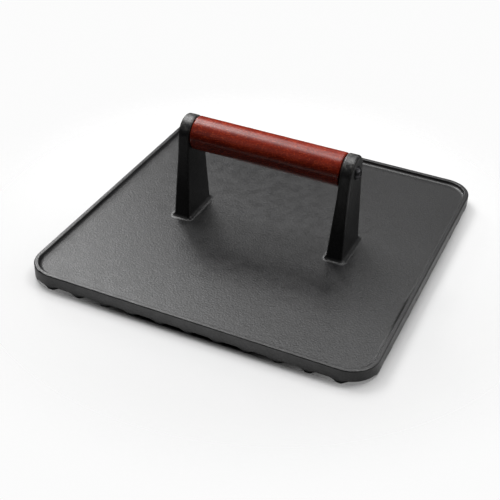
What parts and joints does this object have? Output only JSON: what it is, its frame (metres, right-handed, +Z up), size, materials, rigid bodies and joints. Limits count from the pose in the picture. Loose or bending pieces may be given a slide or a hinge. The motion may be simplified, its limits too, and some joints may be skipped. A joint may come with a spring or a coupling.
{
  "type": "grill press",
  "caption": "Square cast-iron grill press with a raised rim, ribbed underside and two cast posts that carry a turning wooden grip.",
  "frame": {"origin": "centre of the footprint, on the surface the ribs stand on", "axes": "+Z up, +X along the grip, -Y towards the front"},
  "size_m": [0.222, 0.222, 0.0759],
  "materials": {
    "casting": "pre-seasoned, fine sand-cast texture, satin",
    "grip_wood": "red-brown stain under clear gloss lacquer",
    "spindle_steel": "turned",
    "screw_steel": "black oxide"
  },
  "bodies": {
    "press": {"press_body": "casting", "grip_spindle": "spindle_steel", "screw_right": "screw_steel", "screw_left": "screw_steel"},
    "grip": {"wood_grip": "grip_wood"}
  },
  "joints": [
    {"name": "grip_spin", "type": "hinge", "parent": "press", "child": "grip", "pos_m": [0, 0, 0.06485], "axis": [1, 0, 0], "continuous": true}
  ]
}
